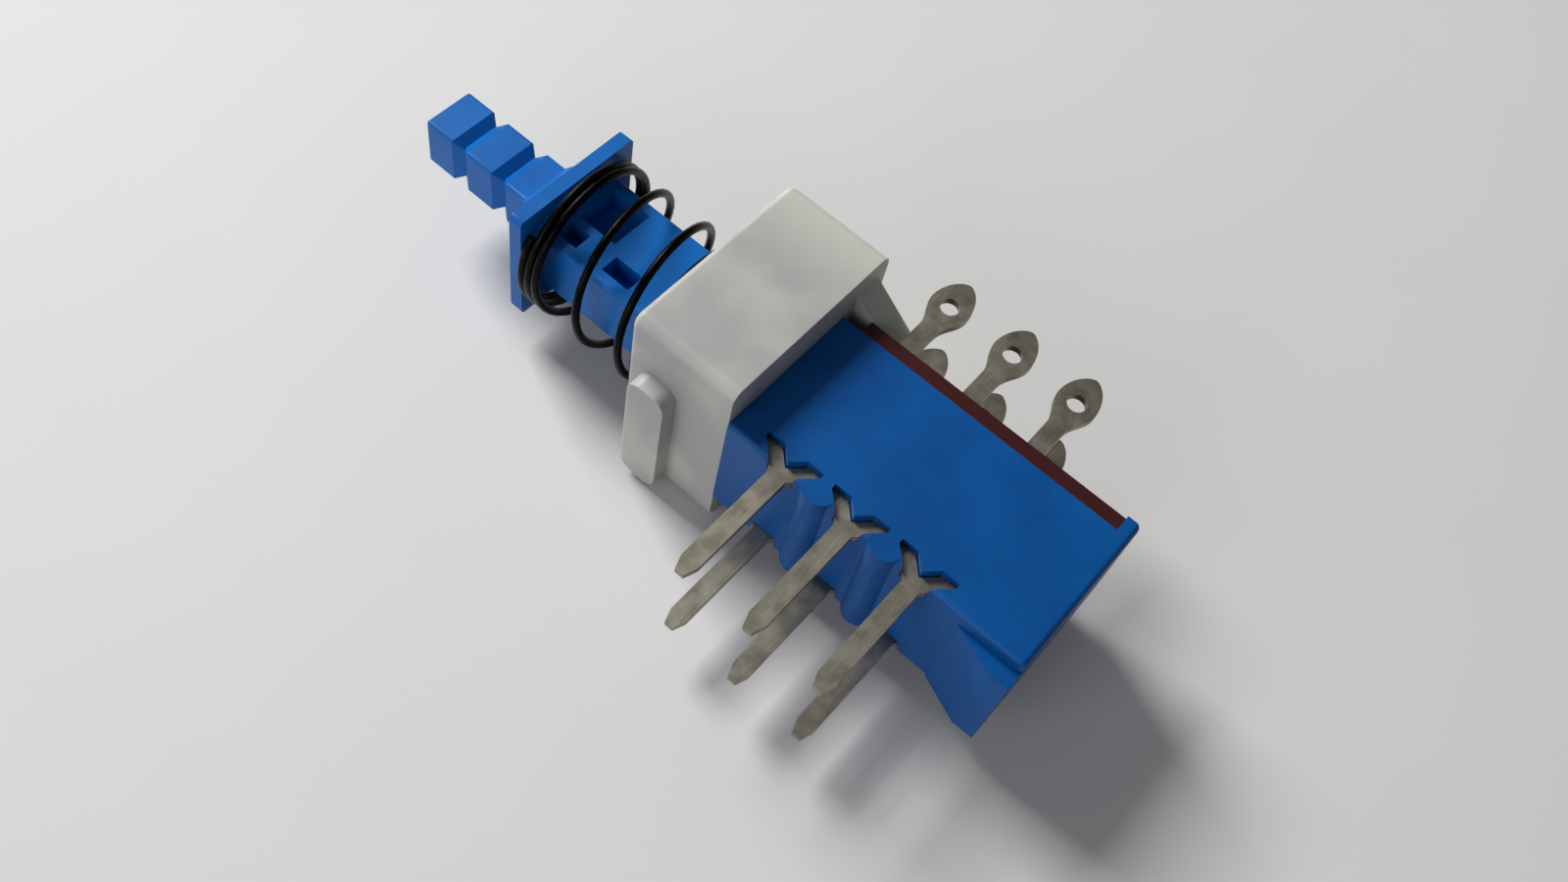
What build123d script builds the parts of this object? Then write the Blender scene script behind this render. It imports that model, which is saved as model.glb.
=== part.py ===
from build123d import *
import os

# Latching two-pole pushbutton switch with solder lugs on one side and board pins on the other.
#
# The switch lies on its side. +X runs along the plunger towards the button end, +Y towards the
# board pins, -Y towards the solder lugs and +Z up. The origin is on the floor under the middle
# of the switch. Every sketch is placed from the plunger's axis and the housing's rear face.

os.makedirs("parts", exist_ok=True)

# Driving dimensions, in millimetres.

# Terminals: two rows of three stamped strips.
pitch = 4.0  # from one terminal to the next, along X
row_gap = 6.0  # from the upper row to the lower row
rear_station = 6.2  # rear terminal, from the housing's rear face
sheet = 0.4  # thickness of the strip
blade_width = 3.2  # the wide part inside the housing
pin_width = 1.0
pin_reach = 12.2  # pin tips, from the plunger's axis
pin_taper = 0.7
fork_inset = 0.9  # how far inside the pin face the fork's arms part
fork_arm = 0.75
lug_reach = 10.0  # lug tips, from the plunger's axis
lug_width = 2.2
lug_neck = 1.0
lug_shoulder = 2.0  # from the eyelet back to where the neck begins
eyelet_radius = 0.52
eyelet_reach = 8.15

# Housing and terminal plate.
housing_length = 17.5
housing_reach = 5.25  # pin face, from the plunger's axis
wall = 0.5
end_wall = 1.0
pin_wall = 1.0
housing_edge = 0.3
lip_proud = 0.2  # how far the rear lip stands past the terminal plate
pilaster_radius = 0.9
pilaster_proud = 0.45
seat_reach = 6.2  # feet that rest on the board, from the plunger's axis
foot_length = 3.6
plate_seat = 3.4  # inner face of the plate, from the plunger's axis
plate_thick = 0.8
plate_inset = 0.8  # rear lip of the housing that covers the plate's end
plate_front_gap = 1.2
slot_clearance = 0.05
cut_past = 0.1  # how far a cut runs past the face it opens

# Latch block.
block_length = 6.3
block_height = 11.8
block_pin_reach = 5.2
block_lug_reach = 6.6
block_edge = 0.7
spigot_length = 1.0
boss_width = 2.3
boss_top = 2.6
boss_inset = 0.9  # from the block's front face
tongue_length = 2.8
tongue_thick = 1.7
tongue_root = 9.2  # height of the tongue where it leaves the block
tongue_margin = 0.6  # how far the tongue's tip stays inside the two rows

# Plunger.
bar_width = 5.6
bar_height = 4.0
bar_clearance = 0.15
bar_edge = 0.3
slider_start = 7.0  # rear end of the slider at rest, from the housing's rear face
pocket_depth = 1.3
pocket_inset = 0.6  # from the flange to the cored pockets
pocket_wall = 0.7
pocket_long = 2.5
pocket_short = 1.3
pocket_rib = 0.5
pocket_step = 3.1  # from the flange-side pockets to the one further back
pocket_far = 1.8
spring_gap = 8.4  # from the latch block to the flange at rest
flange_width = 8.1  # along Y
flange_height = 7.7  # along Z
flange_thick = 0.8
flange_corner = 0.3
flare_length = 1.5
flare_proud = 1.1
stalk_length = 8.7
head_size = 3.1
head_length = 1.9
groove_length = 1.1
groove_depth = 0.4
collar_length = 1.8
head_edge = 0.2
travel = 5.0

# Return spring: wider than the flange's flat sides, so only its corners hold it.
wire = 0.45
coil_overhang = 0.25  # centre of the wire, past the flange's flat side
closed_turns_front = 2.1
closed_turns_rear = 1.0
open_turns = 2.25
closed_lead = 1.04  # advance of a closed turn, in wire diameters
coil_start = 180.0  # where the rear end of the wire lies, in degrees about the axis from +Z

# Contact bridges.
bridge_sheet = 0.2
bridge_width = 2.4
bridge_tail = 0.9
bridge_gap = 0.05
bridge_pocket = 0.4
bridge_bend = 0.35
bridge_play = 0.1
bridge_lift = 0.25  # tails of the leaf, above the pocket's floor

# Latch: a wire that follows a heart-shaped track in the plunger's side.
latch_wire_size = 0.6
track_depth = 0.8
track_clearance = 0.2
track_stop = 1.2  # how far the return branch stays behind the track's end
chamber_play = 0.35
web_thick = 1.0  # between the plunger's passage and the latch chamber
follower_station = 18.9
pivot_station = 22.3
latch_swing = 1.25  # sideways travel of the follower over the full stroke
leaf_sheet = 0.25

# Places worked out from the driving dimensions.
stations = [rear_station + i * pitch for i in range(3)]
half_row = row_gap / 2
blade_in = half_row - sheet / 2
blade_out = half_row + sheet / 2
housing_half = blade_out + wall
block_rear = housing_length
block_front = block_rear + block_length
flange_rear = block_front + spring_gap
flange_front = flange_rear + flange_thick
tip = flange_front + stalk_length
plate_outer = plate_seat + plate_thick
plate_front = housing_length - plate_front_gap
bar_half_y = bar_width / 2
bar_half_z = bar_height / 2
coil_radius = flange_width / 2 + coil_overhang

rear = -tip / 2
axis_y = -(pin_reach - lug_reach) / 2
axis_z = block_height / 2


def flat(z, station=0.0):
    """A plane across Z, with its origin on the plunger's axis at a station along X."""
    return Plane((rear + station, axis_y, axis_z + z), x_dir=(1, 0, 0), z_dir=(0, 0, 1))


def across(station):
    """A plane across X: its own x is Y and its own y is Z."""
    return Plane((rear + station, axis_y, axis_z), x_dir=(0, 1, 0), z_dir=(1, 0, 0))


def upright(y, station=0.0):
    """A plane across Y: its own x is X and its own y is Z, and it faces +Y to -Y."""
    return Plane((rear + station, axis_y + y, axis_z), x_dir=(1, 0, 0), z_dir=(0, -1, 0))


def block_at(x_span, y_span, z_span, mode=Mode.ADD):
    """A rectangular block given by its three spans, measured from the axis and rear face."""
    low, high = zip(x_span, y_span, z_span)
    middle = [(a + b) / 2 for a, b in zip(low, high)]
    sides = [b - a for a, b in zip(low, high)]
    with Locations((rear + middle[0], axis_y + middle[1], axis_z + middle[2])):
        Box(*sides, mode=mode)


def save(builder, name):
    """Label a finished piece and write it."""
    builder.part.label = name
    export_step(builder.part, f"parts/{name}.step")


# Housing: a moulded tray, open to the plate side and to the front.
notch_back = housing_reach - pin_wall - 3 * slot_clearance
fork_tip = housing_reach - fork_inset
proud_face = housing_reach + pilaster_proud + cut_past
with BuildPart() as housing:
    block_at((0, housing_length), (-plate_seat, housing_reach), (-housing_half, housing_half))
    # Rear lip that wraps the end of the terminal plate.
    block_at(
        (0, plate_inset),
        (-plate_outer - lip_proud, -plate_seat),
        (-housing_half, housing_half),
    )
    long_edges = housing.edges().filter_by(Axis.X).group_by(Axis.Y)[-1]
    fillet(long_edges + housing.faces().sort_by(Axis.X)[0].edges(), housing_edge)
    # Ribs between the pins that stand the switch off its board.
    with BuildSketch(flat(-housing_half)):
        for station in (stations[0] + pitch / 2, stations[1] + pitch / 2):
            with Locations((station, housing_reach + pilaster_proud - pilaster_radius)):
                Circle(pilaster_radius)
    extrude(amount=2 * housing_half)
    # Foot at the rear end of the pin side.
    with BuildSketch(flat(-housing_half)):
        with BuildLine():
            Polyline(
                (0, housing_reach - pin_wall / 2),
                (0, seat_reach),
                (foot_length / 3, seat_reach),
                (foot_length, housing_reach),
                (foot_length, housing_reach - pin_wall / 2),
                close=True,
            )
        make_face()
    extrude(amount=housing_half + blade_in)
    # Cavity.
    block_at(
        (end_wall, housing_length),
        (-plate_seat, housing_reach - pin_wall),
        (-blade_out, blade_out),
        mode=Mode.SUBTRACT,
    )
    # Guide rail for the slider on the pin wall.
    block_at(
        (end_wall, housing_length - spigot_length - 4 * slot_clearance),
        (bar_half_y + bar_clearance, housing_reach - pin_wall),
        (-bar_half_z / 2, bar_half_z / 2),
    )
    # Ribs that keep the terminal blades apart.
    for station in (stations[0] + pitch / 2, stations[1] + pitch / 2):
        half_rib = (pitch - blade_width) / 2 - slot_clearance
        for span in ((blade_in, blade_out), (-blade_out, -blade_in)):
            block_at(
                (station - half_rib, station + half_rib),
                (-plate_seat, housing_reach - pin_wall),
                span,
            )
    # Y-shaped notches where the terminals come out, each with a peg between the arms.
    for station in stations:
        for side in (1, -1):
            with BuildSketch(flat(side * (blade_in - slot_clearance), station)):
                half = blade_width / 2 + slot_clearance
                with BuildLine():
                    Polyline(
                        (-half, notch_back),
                        (half, notch_back),
                        (half, fork_tip + slot_clearance),
                        (half - proud_face + fork_tip, proud_face),
                        (proud_face - fork_tip - half, proud_face),
                        (-half, fork_tip + slot_clearance),
                        close=True,
                    )
                make_face()
                peg = fork_tip + blade_width / 2 - fork_arm * 2 ** 0.5 - slot_clearance * 2
                with BuildLine():
                    Polyline(
                        (0, peg),
                        (peg - notch_back, notch_back),
                        (notch_back - peg, notch_back),
                        close=True,
                    )
                make_face(mode=Mode.SUBTRACT)
            extrude(
                amount=side * (housing_half - blade_in + slot_clearance + cut_past),
                mode=Mode.SUBTRACT,
            )
save(housing, "housing")

# Terminal plate: a phenolic strip with a slot for each terminal.
with BuildPart() as terminal_plate:
    block_at((plate_inset, plate_front), (-plate_outer, -plate_seat), (-housing_half, housing_half))
    with BuildSketch(upright(-plate_seat)):
        for station in stations:
            with Locations((station, half_row), (station, -half_row)):
                Rectangle(lug_neck + 2 * slot_clearance, sheet + 2 * slot_clearance)
    extrude(amount=plate_thick, mode=Mode.SUBTRACT)
save(terminal_plate, "terminal_plate")


# Terminals: solder lug, blade, fork and board pin stamped as one strip.
def terminal(name, station, side):
    """One terminal of the upper row (side 1) or the lower row (side -1)."""
    half_lug, half_neck = lug_width / 2, lug_neck / 2
    half_blade, half_pin = blade_width / 2, pin_width / 2
    fork_root = fork_tip + half_blade - half_pin
    shoulder = eyelet_reach - lug_shoulder
    window_tip = fork_tip + half_blade - fork_arm * 2 ** 0.5
    with BuildPart() as strip:
        with BuildSketch(flat(side * half_row - sheet / 2, station)):
            with BuildLine():
                Bezier(
                    (0, -lug_reach),
                    (half_lug / 2, -lug_reach + 0.1),
                    (half_lug, -eyelet_reach - 0.9),
                    (half_lug, -eyelet_reach),
                )
                Bezier(
                    (half_lug, -eyelet_reach),
                    (half_lug, -eyelet_reach + 0.8),
                    (half_neck, -shoulder - 0.9),
                    (half_neck, -shoulder),
                )
                Polyline(
                    (half_neck, -shoulder),
                    (half_neck, -plate_seat),
                    (half_blade, -plate_seat),
                    (half_blade, fork_tip),
                    (half_pin, fork_root),
                    (half_pin, pin_reach - pin_taper),
                    (half_pin / 2, pin_reach),
                    (0, pin_reach),
                )
                mirror(about=Plane.YZ)
            make_face()
            with Locations((0, -eyelet_reach)):
                Circle(eyelet_radius, mode=Mode.SUBTRACT)
            with BuildLine():
                Polyline(
                    (0, window_tip),
                    (window_tip - notch_back, notch_back),
                    (notch_back - window_tip, notch_back),
                    close=True,
                )
            make_face(mode=Mode.SUBTRACT)
        extrude(amount=sheet)
    save(strip, name)


for row, side in (("top", 1), ("bottom", -1)):
    for place, station in zip(("rear", "middle", "front"), stations):
        terminal(f"terminal_{row}_{place}", station, side)

# Latch block: a nylon moulding that closes the housing's front and carries the latch.
bore_y = bar_half_y + bar_clearance
bore_z = bar_half_z + bar_clearance
latch_half = latch_swing + latch_wire_size / 2 + chamber_play
web_outer = bore_y + web_thick
latch_rear = follower_station - latch_wire_size / 2 - 0.4
latch_front = pivot_station + latch_wire_size / 2 + 0.3
with BuildPart() as latch_block:
    block_at((block_rear, block_front), (-block_lug_reach, block_pin_reach), (-axis_z, axis_z))
    fillet(latch_block.edges().filter_by(Axis.X), block_edge)
    fillet(latch_block.faces().sort_by(Axis.X)[-1].edges(), block_edge / 2)
    # Boss on the pin side.
    boss_foot = block_edge / 2 - axis_z
    with BuildSketch(upright(seat_reach, block_front - boss_width / 2 - boss_inset)):
        with Locations((0, (boss_top + boss_foot) / 2)):
            RectangleRounded(boss_width, boss_top - boss_foot, boss_width / 3)
    extrude(amount=seat_reach - block_pin_reach + block_edge)
    # Tongue that clips over the outside of the terminal plate.
    tongue_half = half_row - tongue_margin
    with BuildSketch(upright(-plate_outer - slot_clearance)):
        with BuildLine():
            Polyline(
                (block_rear, tongue_root / 2),
                (block_rear - tongue_length, tongue_half),
                (block_rear - tongue_length, -tongue_half),
                (block_rear, -tongue_root / 2),
                close=True,
            )
        make_face()
    extrude(amount=tongue_thick)
    # Spigot that plugs into the housing's cavity.
    block_at(
        (block_rear - spigot_length, block_rear),
        (-plate_seat + slot_clearance, housing_reach - pin_wall - slot_clearance),
        (slot_clearance - blade_out, blade_out - slot_clearance),
    )
    # Passage for the plunger.
    block_at(
        (block_rear - spigot_length, block_front),
        (-bore_y, bore_y),
        (-bore_z, bore_z),
        mode=Mode.SUBTRACT,
    )
    # Latch chamber in the lug side, its window onto the plunger and the pivot hole.
    block_at(
        (latch_rear, latch_front),
        (-block_lug_reach, -web_outer),
        (-latch_half, latch_half),
        mode=Mode.SUBTRACT,
    )
    block_at(
        (latch_rear, pivot_station - 1.1),
        (-web_outer, -bore_y),
        (-latch_half, latch_half),
        mode=Mode.SUBTRACT,
    )
    with BuildSketch(upright(-bore_y, pivot_station)):
        Circle(latch_wire_size / 2 + slot_clearance)
    extrude(amount=web_outer - bore_y, mode=Mode.SUBTRACT)
save(latch_block, "latch_block")

# Plunger: head, collar, flange, bar and slider moulded in one.
follower_radius = latch_wire_size / 2 + track_clearance
neck_size = head_size - 2 * groove_depth
track_end = follower_station + travel
head_back = tip - head_length
collar_front = head_back - groove_length
collar_back = collar_front - collar_length
root_front = collar_back - groove_length
# Each run of the moulding: rear and front station, width along Y, height along Z, corner radius.
slider = (slider_start, flange_rear, bar_width, bar_height, bar_edge)
flange = (flange_rear, flange_front, flange_width, flange_height, flange_corner)
stalk = (flange_front, head_back, neck_size, neck_size, head_edge)
foot_of_stalk = (flange_front, root_front, head_size, head_size, head_edge)
collar = (collar_back, collar_front, head_size, head_size, head_edge)
head = (head_back, tip, head_size, head_size, head_edge)
with BuildPart() as plunger:
    for low, high, width, height, corner in (slider, flange, stalk, foot_of_stalk, collar, head):
        with BuildSketch(across(low)):
            RectangleRounded(width, height, corner)
        extrude(amount=high - low)
    chamfer(plunger.faces().sort_by(Axis.X)[0].edges(), bar_edge / 2)
    chamfer(plunger.faces().sort_by(Axis.X)[-1].edges(), head_edge / 2)
    # Flare between the flange and the stalk.
    with BuildSketch(across(flange_front)):
        Rectangle(head_size + 2 * flare_proud, head_size + 2 * flare_proud)
    with BuildSketch(across(flange_front + flare_length)):
        Rectangle(head_size, head_size)
    loft()
    # Sloped sides of the two grooves, which hold a push-fit button.
    for groove in (head_back - groove_length / 2, collar_back - groove_length / 2):
        for turn in (1, -1):
            with BuildSketch(across(groove)):
                RectangleRounded(neck_size, neck_size, head_edge)
            with BuildSketch(across(groove + turn * groove_length / 2)):
                RectangleRounded(head_size, head_size, head_edge)
            loft()
    # Cored pockets that keep the moulding's walls even.
    pocket_front = flange_rear - pocket_inset
    pocket_floor = bar_half_z - pocket_depth
    for z_span in ((pocket_floor, bar_half_z), (-bar_half_z, -pocket_floor)):
        block_at(
            (pocket_front - pocket_long, pocket_front),
            (pocket_wall - bar_half_y, pocket_rib),
            z_span,
            mode=Mode.SUBTRACT,
        )
        for front, length in ((pocket_front, pocket_short), (pocket_front - pocket_step, pocket_far)):
            block_at(
                (front - length, front),
                (2 * pocket_rib, bar_half_y - pocket_wall),
                z_span,
                mode=Mode.SUBTRACT,
            )
    # Pockets that hold the contact bridges.
    bridge_floor = bar_half_z - bridge_pocket
    for z_span in ((bridge_floor, bar_half_z), (-bar_half_z, -bridge_floor)):
        block_at(
            (stations[1] - bridge_tail - bridge_play, stations[2] + bridge_tail + bridge_play),
            (-bridge_width / 2 - bridge_play, bridge_width / 2 + bridge_play),
            z_span,
            mode=Mode.SUBTRACT,
        )
    # Heart-shaped track for the latch follower, with its island left standing.
    with BuildSketch(upright(-bar_half_y + track_depth)):
        with BuildLine():
            Polyline((follower_station, 0), (track_end, latch_swing))
        trace(line_width=2 * follower_radius)
        with BuildLine():
            Polyline(
                (follower_station, 0),
                (track_end - track_stop, -latch_swing),
                (track_end, -latch_swing / 3),
            )
        trace(line_width=2 * follower_radius)
        with Locations((follower_station, 0), (track_end, latch_swing)):
            Circle(follower_radius)
    extrude(amount=track_depth + cut_past, mode=Mode.SUBTRACT)
save(plunger, "plunger")


# Contact bridges: phosphor bronze leaves that join two neighbouring terminals of a row.
def bridge(name, side):
    """One sprung leaf; side is 1 for the upper row and -1 for the lower."""
    back, front = stations[1], stations[2]
    crown = blade_in - bridge_gap - bridge_sheet / 2
    trough = bridge_floor + bridge_sheet / 2
    tail = bridge_floor + bridge_lift
    centre_line = [
        (back - bridge_tail, tail),
        (back, crown),
        (back + bridge_tail, trough),
        (front - bridge_tail, trough),
        (front, crown),
        (front + bridge_tail, tail),
    ]
    with BuildPart() as leaf:
        with BuildSketch(upright(bridge_width / 2)):
            with BuildLine():
                FilletPolyline(*[(x, side * z) for x, z in centre_line], radius=bridge_bend)
            trace(line_width=bridge_sheet)
        extrude(amount=bridge_width)
    save(leaf, name)


bridge("contact_bridge_top", 1)
bridge("contact_bridge_bottom", -1)

# Latch wire: a bent pin whose one leg turns in the block and whose other follows the track.
wire_play = 2 * slot_clearance
pivot_tip = axis_y - bore_y - wire_play
follower_tip = axis_y - bar_half_y + track_depth - wire_play
shank_y = -web_outer - latch_wire_size / 2 - wire_play
with BuildPart() as latch_wire:
    with BuildLine():
        FilletPolyline(
            (rear + pivot_station, pivot_tip, axis_z),
            (rear + pivot_station, axis_y + shank_y, axis_z),
            (rear + follower_station, axis_y + shank_y, axis_z),
            (rear + follower_station, follower_tip, axis_z),
            radius=latch_wire_size * 0.8,
        )
    with BuildSketch(upright(-bore_y - wire_play, pivot_station)):
        Circle(latch_wire_size / 2)
    sweep()
save(latch_wire, "latch_wire")

# Latch leaf: a flat spring across the chamber that keeps the wire in its track.
leaf_y = shank_y - latch_wire_size / 2 - slot_clearance
with BuildPart() as latch_leaf:
    block_at(
        (latch_rear, latch_front),
        (leaf_y - leaf_sheet, leaf_y),
        (-latch_half, latch_half),
    )
save(latch_leaf, "latch_leaf")

# Return spring: closed turns at both ends and open turns between, about the plunger.
closed_pitch = wire * closed_lead
closed_span = (closed_turns_front + closed_turns_rear) * closed_pitch
open_pitch = (spring_gap - wire - closed_span) / open_turns
runs = (
    (closed_turns_rear, closed_pitch),
    (open_turns, open_pitch),
    (closed_turns_front, closed_pitch),
)
with BuildPart() as return_spring:
    station = block_front + wire / 2
    angle = coil_start
    for turns, lead in runs:
        start = (rear + station, axis_y, axis_z)
        along = (1, 0, 0)
        with BuildLine():
            turn = Helix(lead, turns * lead, coil_radius, start, along, mode=Mode.PRIVATE)
            coil = turn.rotate(Axis(start, along), angle)
        with BuildSketch(Plane(coil @ 0, z_dir=coil % 0)):
            Circle(wire / 2)
        sweep(path=coil, is_frenet=True)
        station += turns * lead
        angle += 360 * turns
save(return_spring, "return_spring")
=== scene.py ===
from math import cos, radians, sin, tau

import bmesh
import bpy
from mathutils import Matrix, Vector


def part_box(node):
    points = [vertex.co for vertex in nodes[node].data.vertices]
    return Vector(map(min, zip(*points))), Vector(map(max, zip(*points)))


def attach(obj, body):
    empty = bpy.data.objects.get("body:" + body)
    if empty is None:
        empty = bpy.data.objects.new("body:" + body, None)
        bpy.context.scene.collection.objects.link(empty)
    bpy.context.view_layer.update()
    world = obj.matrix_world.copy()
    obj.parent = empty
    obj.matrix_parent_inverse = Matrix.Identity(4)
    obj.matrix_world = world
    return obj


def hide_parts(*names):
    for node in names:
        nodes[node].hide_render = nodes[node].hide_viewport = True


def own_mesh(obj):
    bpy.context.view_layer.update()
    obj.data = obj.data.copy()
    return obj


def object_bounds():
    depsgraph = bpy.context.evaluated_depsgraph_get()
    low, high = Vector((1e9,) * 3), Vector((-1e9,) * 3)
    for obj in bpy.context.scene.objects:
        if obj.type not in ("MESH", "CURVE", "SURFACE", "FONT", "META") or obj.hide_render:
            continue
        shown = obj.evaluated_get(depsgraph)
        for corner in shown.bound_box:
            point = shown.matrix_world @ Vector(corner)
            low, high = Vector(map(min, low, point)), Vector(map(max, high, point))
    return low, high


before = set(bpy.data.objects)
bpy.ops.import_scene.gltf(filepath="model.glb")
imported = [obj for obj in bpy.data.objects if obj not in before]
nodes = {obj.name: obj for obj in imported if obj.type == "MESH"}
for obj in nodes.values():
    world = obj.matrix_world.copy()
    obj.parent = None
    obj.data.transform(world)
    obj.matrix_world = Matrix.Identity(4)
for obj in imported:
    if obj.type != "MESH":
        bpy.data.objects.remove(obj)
cad_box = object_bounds()

mm = 0.001

# --- Housing ---------------------------------------------------------------------------------
# The blue tray that holds the contacts, injection moulded in one piece with ribs between the
# pins and a foot at the rear. Satin plastic with faint flow marks and soft moulded edges.
housing_blue = (0.0012, 0.088, 0.325)
housing_deep = (0.0008, 0.068, 0.275)
housing_rough = 0.42
housing_edge = 0.10 * mm
sharp_corner = radians(32)
plastic_specular = 0.2
skin_depth = 0.006 * mm


def node_of(tree, kind, **inputs):
    """A shader node with some of its inputs set by name."""
    made = tree.nodes.new(kind)
    for socket, value in inputs.items():
        made.inputs[socket.replace("_", " ")].default_value = value
    return made


def surface_of(name):
    """A new material, its tree, its shader and the Object coordinates that its patterns read."""
    material = bpy.data.materials.new(name)
    material.use_nodes = True
    tree = material.node_tree
    shader = tree.nodes["Principled BSDF"]
    place = tree.nodes.new("ShaderNodeTexCoord").outputs["Object"]
    return material, tree, shader, place


def noise_at(tree, place, size, detail=3.0, roughness=0.55):
    """Noise whose features are about this size, in metres."""
    noise = node_of(tree, "ShaderNodeTexNoise", Scale=1 / size, Detail=detail, Roughness=roughness)
    tree.links.new(place, noise.inputs["Vector"])
    return noise.outputs["Fac"]


def ramp_between(tree, factor, low, high):
    """Spreads the band between two values of a factor over 0 to 1."""
    spread = node_of(tree, "ShaderNodeMapRange", From_Min=low, From_Max=high)
    tree.links.new(factor, spread.inputs["Value"])
    return spread.outputs["Result"]


def two_tones(tree, factor, first, second):
    """A colour that runs from the first tone to the second."""
    mix = tree.nodes.new("ShaderNodeMix")
    mix.data_type = "RGBA"
    mix.inputs["A"].default_value = (*first, 1)
    mix.inputs["B"].default_value = (*second, 1)
    tree.links.new(factor, mix.inputs["Factor"])
    return mix.outputs["Result"]


def roughened(tree, shader, factor, low, high):
    """Roughness that wanders between two values."""
    spread = node_of(tree, "ShaderNodeMapRange", To_Min=low, To_Max=high)
    tree.links.new(factor, spread.inputs["Value"])
    tree.links.new(spread.outputs["Result"], shader.inputs["Roughness"])


def bumped(tree, shader, factor, height, strength=0.5):
    """A bump of this height, in metres."""
    bump = node_of(tree, "ShaderNodeBump", Strength=strength, Distance=height)
    tree.links.new(factor, bump.inputs["Height"])
    tree.links.new(bump.outputs["Normal"], shader.inputs["Normal"])


def moulded_plastic(name, tone, deep, rough):
    """Satin moulded plastic: slow flow marks in the colour and a fine spark-eroded skin."""
    material, tree, shader, place = surface_of(name)
    flow = ramp_between(tree, noise_at(tree, place, 3.5 * mm, detail=4), 0.35, 0.65)
    tree.links.new(two_tones(tree, flow, tone, deep), shader.inputs["Base Color"])
    skin = noise_at(tree, place, 0.12 * mm, detail=2)
    roughened(tree, shader, skin, rough - 0.06, rough + 0.08)
    bumped(tree, shader, skin, skin_depth)
    shader.inputs["Specular IOR Level"].default_value = plastic_specular
    return material


def finished(piece, material):
    """Gives a piece one material on every face."""
    piece.data.materials.clear()
    piece.data.materials.append(material)
    return piece


def settled(bm, name):
    """Turns a finished bmesh into a smooth-shaded piece in the scene."""
    for face in bm.faces:
        face.smooth = True
    mesh = bpy.data.meshes.new(name)
    bm.to_mesh(mesh)
    bm.free()
    mesh.set_sharp_from_angle(angle=sharp_corner)
    piece = bpy.data.objects.new(name, mesh)
    bpy.context.scene.collection.objects.link(piece)
    return piece


def softened(node, name, edge):
    """A copy of a CAD piece with its sharp corners rounded, as a mould or a die leaves them."""
    bm = bmesh.new()
    bm.from_mesh(nodes[node].data)
    bmesh.ops.remove_doubles(bm, verts=bm.verts, dist=0.0005 * mm)
    bmesh.ops.dissolve_limit(bm, angle_limit=radians(0.5), verts=bm.verts, edges=bm.edges)
    corners = [
        line for line in bm.edges
        if len(line.link_faces) == 2 and line.calc_face_angle() > sharp_corner
    ]
    bmesh.ops.bevel(
        bm,
        geom=corners,
        offset=edge,
        offset_type="OFFSET",
        segments=3,
        profile=0.5,
        affect="EDGES",
        clamp_overlap=True,
        material=-1,
    )
    piece = settled(bm, name)
    even = piece.modifiers.new("even shading", "WEIGHTED_NORMAL")
    even.keep_sharp = True
    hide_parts(node)
    return piece


housing = softened("housing", "housing_shell", housing_edge)
finished(housing, moulded_plastic("housing blue", housing_blue, housing_deep, housing_rough))
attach(housing, "frame")

# --- Terminal plate --------------------------------------------------------------------------
# A strip of dark red-brown phenolic laminate that closes the tray on the lug side and holds the
# six terminals. Sawn from sheet, so its long edge shows paper layers and its face a dull sheen.
phenolic_red = (0.075, 0.012, 0.013)
phenolic_black = (0.022, 0.006, 0.007)
layer_height = 0.5 * mm


def laminate(name, tone, deep):
    """Pressed paper laminate, its layers stacked through the sheet's thickness along Y."""
    material, tree, shader, place = surface_of(name)
    layers = node_of(tree, "ShaderNodeTexWave", Scale=1 / layer_height, Distortion=3.0, Detail=3.0)
    layers.bands_direction = "Y"
    tree.links.new(place, layers.inputs["Vector"])
    tree.links.new(two_tones(tree, layers.outputs["Fac"], tone, deep), shader.inputs["Base Color"])
    fibres = noise_at(tree, place, 0.2 * mm)
    roughened(tree, shader, fibres, 0.35, 0.55)
    bumped(tree, shader, fibres, 0.012 * mm)
    shader.inputs["Specular IOR Level"].default_value = plastic_specular
    return material


finished(nodes["terminal_plate"], laminate("phenolic", phenolic_red, phenolic_black))

# --- Terminals -------------------------------------------------------------------------------
# Six strips stamped from brass and tinned: solder lug, blade, fork and board pin in one. The tin
# has dulled to a warm grey, and runs darker and browner towards the lug tips.
tin_bright = (0.40, 0.37, 0.305)
tin_dull = (0.26, 0.24, 0.195)
tin_tip_brown = (0.085, 0.06, 0.045)
tip_darkening_length = 1.9 * mm
tip_darkening_share = 0.35
lug_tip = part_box("terminal_top_middle")[0].y


def stretched(tree, place, scale):
    """The same coordinates with each axis scaled, so that a noise is drawn out along one."""
    stretch = node_of(tree, "ShaderNodeMapping", Scale=scale)
    tree.links.new(place, stretch.inputs["Vector"])
    return stretch.outputs["Vector"]


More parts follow.
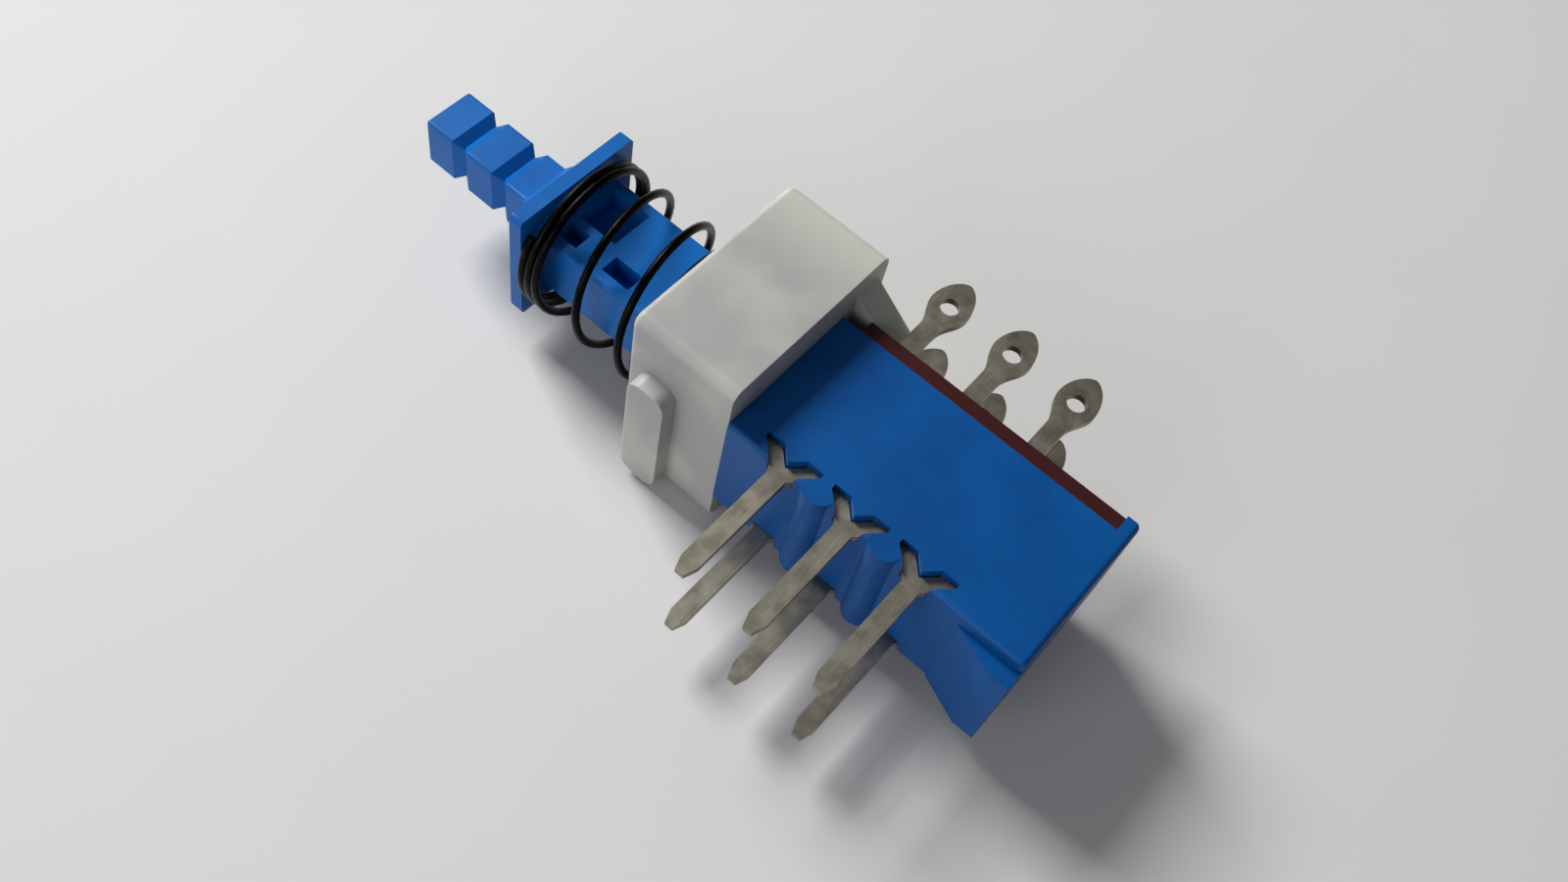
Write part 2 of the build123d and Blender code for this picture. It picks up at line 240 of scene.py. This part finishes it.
def dull_tin(name):
    """Dulled tin: blotches, fine scratches along the strip, and a darker brown towards the lug
    tips.
    """
    material, tree, shader, place = surface_of(name)
    shader.inputs["Metallic"].default_value = 1.0
    blotches = ramp_between(tree, noise_at(tree, place, 1.1 * mm, detail=5), 0.38, 0.62)
    base = two_tones(tree, blotches, tin_bright, tin_dull)
    along = tree.nodes.new("ShaderNodeSeparateXYZ")
    tree.links.new(place, along.inputs["Vector"])
    # the colour runs darker and browner over the last stretch towards the lug tips
    fade = node_of(
        tree,
        "ShaderNodeMapRange",
        From_Min=lug_tip + tip_darkening_length,
        From_Max=lug_tip,
        To_Max=tip_darkening_share,
    )
    tree.links.new(along.outputs["Y"], fade.inputs["Value"])
    tip_darkened = tree.nodes.new("ShaderNodeMix")
    tip_darkened.data_type = "RGBA"
    tip_darkened.inputs["B"].default_value = (*tin_tip_brown, 1)
    tree.links.new(base, tip_darkened.inputs["A"])
    tree.links.new(fade.outputs["Result"], tip_darkened.inputs["Factor"])
    tree.links.new(tip_darkened.outputs["Result"], shader.inputs["Base Color"])
    scratches = noise_at(tree, stretched(tree, place, (1, 0.06, 1)), 0.06 * mm)
    roughened(tree, shader, scratches, 0.36, 0.6)
    bumped(tree, shader, scratches, skin_depth)
    return material


tin = dull_tin("dull tin")
terminal_names = []
for row in ("top", "bottom"):
    terminal_names += [f"terminal_{row}_{seat}" for seat in ("rear", "middle", "front")]
for name in terminal_names:
    finished(nodes[name], tin)

# --- Latch block -----------------------------------------------------------------------------
# The white block that closes the tray's front and guides the plunger. Natural nylon, slightly
# translucent, a little yellowed over time, with rounded moulded edges and a satin skin. Towards
# the ear its colour is painted lighter and yellower, a painted highlight where the lamp falls.
nylon_white = (0.40, 0.40, 0.395)
# a lighter, yellower tone used both for the yellowed patches and for the painted highlight towards
# the ear
nylon_yellowed_and_lit = (0.60, 0.595, 0.53)
block_edge = 0.12 * mm
ear_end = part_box("latch_block")[0].y
ear_length = 4.5 * mm
ear_start = ear_end + ear_length


def natural_nylon(name, tone, yellowed_and_lit):
    """Slightly translucent nylon, yellowed in faint broad patches, with a painted highlight that
    turns it lighter and yellower towards the ear.
    """
    material, tree, shader, place = surface_of(name)
    across = tree.nodes.new("ShaderNodeSeparateXYZ")
    tree.links.new(place, across.inputs["Vector"])
    # painted highlight: the colour runs lighter and yellower towards the ear, where the lamp falls
    # on it
    ear = ramp_between(tree, across.outputs["Y"], ear_start, ear_end)
    # the stronger of the painted highlight on the ear and the yellowed patches
    yellowing_and_light = tree.nodes.new("ShaderNodeMath")
    yellowing_and_light.operation = "MAXIMUM"
    tree.links.new(ear, yellowing_and_light.inputs[0])
    patches = ramp_between(tree, noise_at(tree, place, 5 * mm, detail=2), 0.45, 0.85)
    tree.links.new(patches, yellowing_and_light.inputs[1])
    tree.links.new(two_tones(tree, yellowing_and_light.outputs["Value"], tone, yellowed_and_lit), shader.inputs["Base Color"])
    skin = noise_at(tree, place, 0.16 * mm, detail=2)
    roughened(tree, shader, skin, 0.42, 0.58)
    bumped(tree, shader, skin, 0.008 * mm)
    shader.inputs["Subsurface Weight"].default_value = 0.35
    shader.inputs["Subsurface Radius"].default_value = (1.0, 0.95, 0.8)
    shader.inputs["Subsurface Scale"].default_value = 0.5 * mm
    shader.inputs["IOR"].default_value = 1.53
    return material


block = softened("latch_block", "latch_block_moulding", block_edge)
finished(block, natural_nylon("natural nylon", nylon_white, nylon_yellowed_and_lit))
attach(block, "frame")

# --- Plunger ---------------------------------------------------------------------------------
# The push rod: grooved head for a button, collar, square flange and the bar that slides through
# the block. One moulding in a lighter, slightly glossier blue than the housing.
plunger_blue = (0.003, 0.14, 0.50)
plunger_deep = (0.002, 0.115, 0.43)
plunger_rough = 0.38
plunger_edge = 0.08 * mm
plunger = softened("plunger", "plunger_rod", plunger_edge)
finished(plunger, moulded_plastic("plunger blue", plunger_blue, plunger_deep, plunger_rough))
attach(plunger, "plunger")

# --- Contact bridges -------------------------------------------------------------------------
# Two phosphor bronze leaves that ride on the bar inside the tray and join the terminals.
bronze_warm = (0.62, 0.38, 0.17)
bronze_dull = (0.40, 0.23, 0.10)


def sheet_metal(name, tone, deep, rough):
    """Rolled sheet or drawn wire: fine lines along X and a soft stain."""
    material, tree, shader, place = surface_of(name)
    shader.inputs["Metallic"].default_value = 1.0
    stain = ramp_between(tree, noise_at(tree, place, 0.8 * mm), 0.4, 0.65)
    tree.links.new(two_tones(tree, stain, tone, deep), shader.inputs["Base Color"])
    lines = noise_at(tree, stretched(tree, place, (0.08, 1, 1)), 0.05 * mm)
    roughened(tree, shader, lines, rough - 0.08, rough + 0.1)
    bumped(tree, shader, lines, 0.003 * mm)
    return material


bronze = sheet_metal("phosphor bronze", bronze_warm, bronze_dull, 0.3)
for row in ("top", "bottom"):
    finished(nodes[f"contact_bridge_{row}"], bronze)

# --- Latch wire and leaf ---------------------------------------------------------------------
# The bent wire that follows the heart-shaped track in the bar, and the flat spring that keeps it
# there. Both bright steel, seen only through the window on the block's lug side.
steel_bright = (0.56, 0.56, 0.57)
steel_dull = (0.36, 0.36, 0.37)
latch_steel = sheet_metal("latch steel", steel_bright, steel_dull, 0.28)
finished(nodes["latch_wire"], latch_steel)
finished(nodes["latch_leaf"], latch_steel)

# --- Return spring ---------------------------------------------------------------------------
# Black music wire coiled right-handed about the bar: closed turns against the flange, open turns
# between, and one closed turn on the block. It is free at both ends.
spring_black = (0.0055, 0.0048, 0.0055)
spring_brown = (0.014, 0.010, 0.009)
coil_low, coil_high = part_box("return_spring")
wire = 0.45 * mm
closed_pitch = 1.04 * wire
turns_rear, turns_front, turns_open = 1.0, 2.1, 2.25
steps_per_turn = 40
wire_sides = 14
lead_blend = 0.12  # turns over which the lead changes from closed to open

coil_axis = (coil_low + coil_high) / 2
coil_radius = (coil_high.z - coil_low.z - wire) / 2
coil_span = coil_high.x - coil_low.x - wire
open_pitch = (coil_span - (turns_rear + turns_front) * closed_pitch) / turns_open
turns_all = turns_rear + turns_open + turns_front


def lead_after(turn):
    """How far the wire advances per turn, after this many turns from the block."""
    opening = (turn - turns_rear) / lead_blend + 0.5
    closing = (turns_rear + turns_open - turn) / lead_blend + 0.5
    share = max(0.0, min(1.0, opening, closing))
    share = share * share * (3 - 2 * share)
    return closed_pitch + (open_pitch - closed_pitch) * share


def coiled_spring(name):
    """A round wire carried about the axis a step at a time, each step with its own advance."""
    bm = bmesh.new()
    start = Vector((coil_low.x + wire / 2, coil_axis.y, coil_axis.z - coil_radius))
    facing = Matrix.Rotation(radians(90), 4, "X")
    section = bmesh.ops.create_circle(
        bm, segments=wire_sides, radius=wire / 2, matrix=Matrix.Translation(start) @ facing
    )
    ring = list(bm.edges)
    bm.faces.new(section["verts"])
    for step in range(round(turns_all * steps_per_turn)):
        advance = lead_after((step + 0.5) / steps_per_turn) / steps_per_turn
        turned = bmesh.ops.spin(
            bm,
            geom=ring,
            cent=(0, coil_axis.y, coil_axis.z),
            axis=(1, 0, 0),
            dvec=(advance, 0, 0),
            angle=tau / steps_per_turn,
            steps=1,
            use_merge=False,
        )
        ring = [item for item in turned["geom_last"] if isinstance(item, bmesh.types.BMEdge)]
    bmesh.ops.contextual_create(bm, geom=ring)
    bmesh.ops.recalc_face_normals(bm, faces=bm.faces)
    return settled(bm, name)


spring = coiled_spring("return_spring_coil")
finished(spring, sheet_metal("black music wire", spring_black, spring_brown, 0.34))
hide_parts("return_spring")
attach(spring, "frame")
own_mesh(spring)

# --- Bench, light and camera -----------------------------------------------------------------
# A pale matt bench top, a soft lamp from the button's side, a weaker one from the side of the
# pins, a dim room, and a camera that looks down on the switch from above.
bench_pale = (0.72, 0.72, 0.715)
bench_shade = (0.69, 0.69, 0.685)
bench_half = 0.6
room_light = 0.115
sensor_width = 36
focal_length = 34.37775

bm = bmesh.new()
bmesh.ops.create_grid(bm, x_segments=1, y_segments=1, size=bench_half)
bench_mesh = bpy.data.meshes.new("bench")
bm.to_mesh(bench_mesh)
bm.free()
bench = bpy.data.objects.new("bench", bench_mesh)
bpy.context.scene.collection.objects.link(bench)
bench_finish, tree, shader, place = surface_of("bench top")
tree.links.new(
    two_tones(tree, noise_at(tree, place, 14 * mm, detail=2), bench_pale, bench_shade),
    shader.inputs["Base Color"],
)
shader.inputs["Roughness"].default_value = 0.7
finished(bench, bench_finish)

middle = (cad_box[0] + cad_box[1]) / 2


def soft_lamp(name, place, width, watts, warmth):
    """A square area lamp that faces the switch."""
    lamp = bpy.data.lights.new(name, "AREA")
    lamp.size = width
    lamp.energy = watts
    lamp.color = warmth
    holder = bpy.data.objects.new(name, lamp)
    bpy.context.scene.collection.objects.link(holder)
    aim = (middle - Vector(place)).to_track_quat("-Z", "Y")
    holder.matrix_world = Matrix.Translation(place) @ aim.to_matrix().to_4x4()


soft_lamp("window lamp", (0.38, -0.06, 0.34), 0.19, 2.9, (1.0, 0.99, 0.97))
soft_lamp("fill lamp", (0.06, 0.48, 0.2), 0.36, 0.85, (0.97, 0.98, 1.0))

world = bpy.data.worlds.new("room")
world.use_nodes = True
room = world.node_tree.nodes["Background"]
room.inputs["Color"].default_value = (0.95, 0.97, 1.0, 1)
room.inputs["Strength"].default_value = room_light
bpy.context.scene.world = world

camera_roll = radians(16.0)
camera_reach = 73.992 * mm
camera_target = Vector((-4.818, 0.977, 5.9)) * mm
view_back = Vector((-0.2293, 0.4616, 0.8569)).normalized()
sight = -view_back
level_right = sight.cross(Vector((0, 0, 1))).normalized()
level_up = level_right.cross(sight)
right = cos(camera_roll) * level_right + sin(camera_roll) * level_up
up = cos(camera_roll) * level_up - sin(camera_roll) * level_right
turned = Matrix((right, up, view_back)).transposed().to_4x4()

lens = bpy.data.cameras.new("camera")
lens.sensor_width = sensor_width
lens.lens = focal_length
lens.clip_start = 0.005
lens.clip_end = 10
camera = bpy.data.objects.new("camera", lens)
bpy.context.scene.collection.objects.link(camera)
camera.matrix_world = Matrix.Translation(camera_target + view_back * camera_reach) @ turned
bpy.context.scene.camera = camera
bpy.context.scene.view_settings.view_transform = "Standard"
